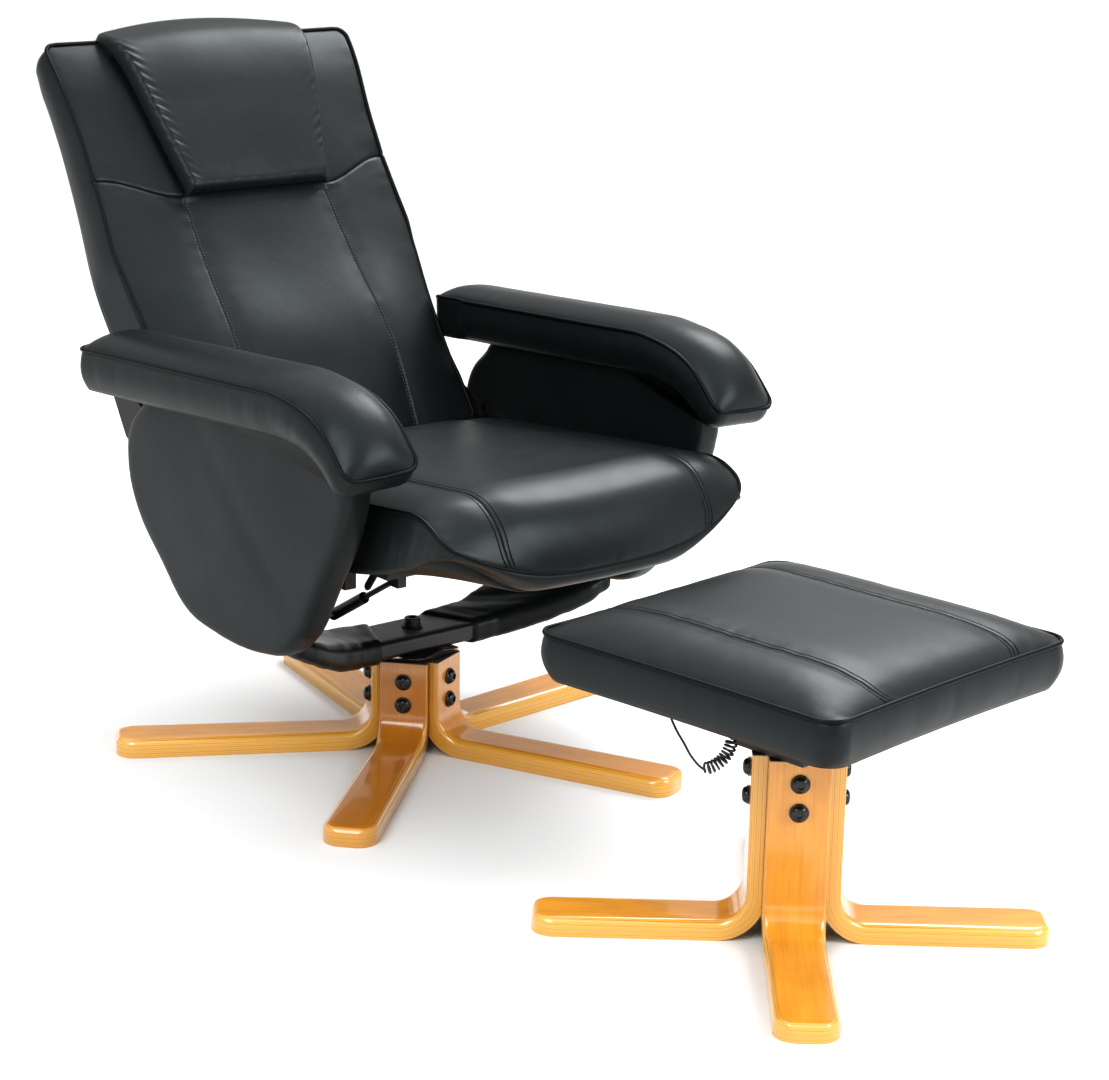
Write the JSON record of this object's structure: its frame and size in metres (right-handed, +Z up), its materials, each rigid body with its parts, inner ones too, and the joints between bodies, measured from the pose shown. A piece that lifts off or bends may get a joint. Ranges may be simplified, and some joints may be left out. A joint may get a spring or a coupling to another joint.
{
  "type": "massage armchair with footstool",
  "caption": "Swivel recliner armchair in black faux leather on bent plywood legs, with massage motors, a linked reclining seat and back, and a matching footstool on a curly cord.",
  "frame": {"origin": "on the floor, under the middle of the box of chair and footstool together", "axes": "+Z up; the chair faces -Y, towards the footstool; +X is on the right of someone who faces the chair"},
  "size_m": [0.7878, 1.6596, 0.9738],
  "materials": {
    "black_faux_leather": "satin",
    "lacquered_plywood": "gloss",
    "black_steel": "satin",
    "bright_steel": "satin",
    "painted_cradle": "satin",
    "plain_board": "matte",
    "motor_shell": "matte",
    "black_plastic": "satin"
  },
  "bodies": {
    "chair_base": {"chair_leg_1": "lacquered_plywood", "chair_leg_2": "lacquered_plywood", "chair_leg_3": "lacquered_plywood", "chair_leg_4": "lacquered_plywood", "chair_leg_5": "lacquered_plywood", "chair_leg_bolt_1": "black_steel", "chair_leg_bolt_2": "black_steel", "chair_leg_bolt_3": "black_steel", "chair_leg_bolt_4": "black_steel", "chair_leg_bolt_5": "black_steel", "chair_leg_bolt_6": "black_steel", "chair_leg_bolt_7": "black_steel", "chair_leg_bolt_8": "black_steel", "chair_leg_bolt_9": "black_steel", "chair_leg_bolt_10": "black_steel", "chair_hub": "black_steel", "swivel_spindle": "black_steel", "swivel_bearing": "bright_steel", "swivel_cap_bolt": "black_steel"},
    "swivel_frame": {"cradle": "painted_cradle", "side_panel_left": "black_faux_leather", "side_panel_right": "black_faux_leather", "arm_pad_left": "black_faux_leather", "arm_pad_right": "black_faux_leather", "lock_cylinder": "black_steel"},
    "backrest": {"hinge_arm_left": "black_steel", "hinge_arm_right": "black_steel", "back_cushion": "black_faux_leather", "head_pillow": "black_faux_leather", "back_board": "plain_board", "back_motor_lower": "motor_shell", "back_motor_upper": "motor_shell"},
    "seat": {"seat_cushion": "black_faux_leather", "seat_frame": "plain_board", "seat_motor": "motor_shell", "control_box": "black_plastic", "lock_rod": "bright_steel"},
    "front_link_left": {"front_link_left": "black_steel"},
    "front_link_right": {"front_link_right": "black_steel"},
    "lock_lever": {"lock_lever": "black_steel"},
    "footstool": {"stool_leg_1": "lacquered_plywood", "stool_leg_2": "lacquered_plywood", "stool_leg_3": "lacquered_plywood", "stool_leg_4": "lacquered_plywood", "stool_leg_bolt_1": "black_steel", "stool_leg_bolt_2": "black_steel", "stool_leg_bolt_3": "black_steel", "stool_leg_bolt_4": "black_steel", "stool_leg_bolt_5": "black_steel", "stool_leg_bolt_6": "black_steel", "stool_leg_bolt_7": "black_steel", "stool_leg_bolt_8": "black_steel", "stool_hub": "black_steel", "stool_box": "black_steel", "stool_board": "plain_board", "stool_cushion": "black_faux_leather", "stool_motor": "motor_shell", "curly_cord": "black_plastic", "cord_gland": "black_plastic", "cord_socket": "black_plastic"}
  },
  "joints": [
    {"name": "swivel", "type": "hinge", "parent": "chair_base", "child": "swivel_frame", "pos_m": [-0.02363, 0.23607, 0.15], "axis": [0, 0, 1], "continuous": true},
    {"name": "recline", "type": "hinge", "parent": "swivel_frame", "child": "backrest", "pos_m": [-0.02363, 0.43107, 0.42], "axis": [-1, 0, 0], "range_deg": [-5, 20]},
    {"name": "seat_tilt", "type": "hinge", "parent": "backrest", "child": "seat", "pos_m": [-0.02363, 0.38607, 0.315], "axis": [-1, 0, 0], "range_deg": [-20, 5]},
    {"name": "front_link_left_swing", "type": "hinge", "parent": "swivel_frame", "child": "front_link_left", "pos_m": [-0.28563, 0.17607, 0.41], "axis": [-1, 0, 0], "range_deg": [-5, 20]},
    {"name": "front_link_right_swing", "type": "hinge", "parent": "swivel_frame", "child": "front_link_right", "pos_m": [0.23837, 0.17607, 0.41], "axis": [-1, 0, 0], "range_deg": [-5, 20]},
    {"name": "lock_release", "type": "hinge", "parent": "seat", "child": "lock_lever", "pos_m": [-0.19563, 0.07849, 0.3194], "axis": [1, 0, 0], "range_deg": [0, 12], "stiffness_Nm_per_rad": 0.6},
    {"name": "footstool_move", "type": "slide", "parent": "chair_base", "child": "footstool", "axis": [0, -1, 0], "range_m": [0, 0.3]}
  ],
  "couplings": [
    {"joint": "seat_tilt", "follows": "recline", "ratio": -1},
    {"joint": "front_link_left_swing", "follows": "recline", "ratio": 1},
    {"joint": "front_link_right_swing", "follows": "recline", "ratio": 1}
  ]
}
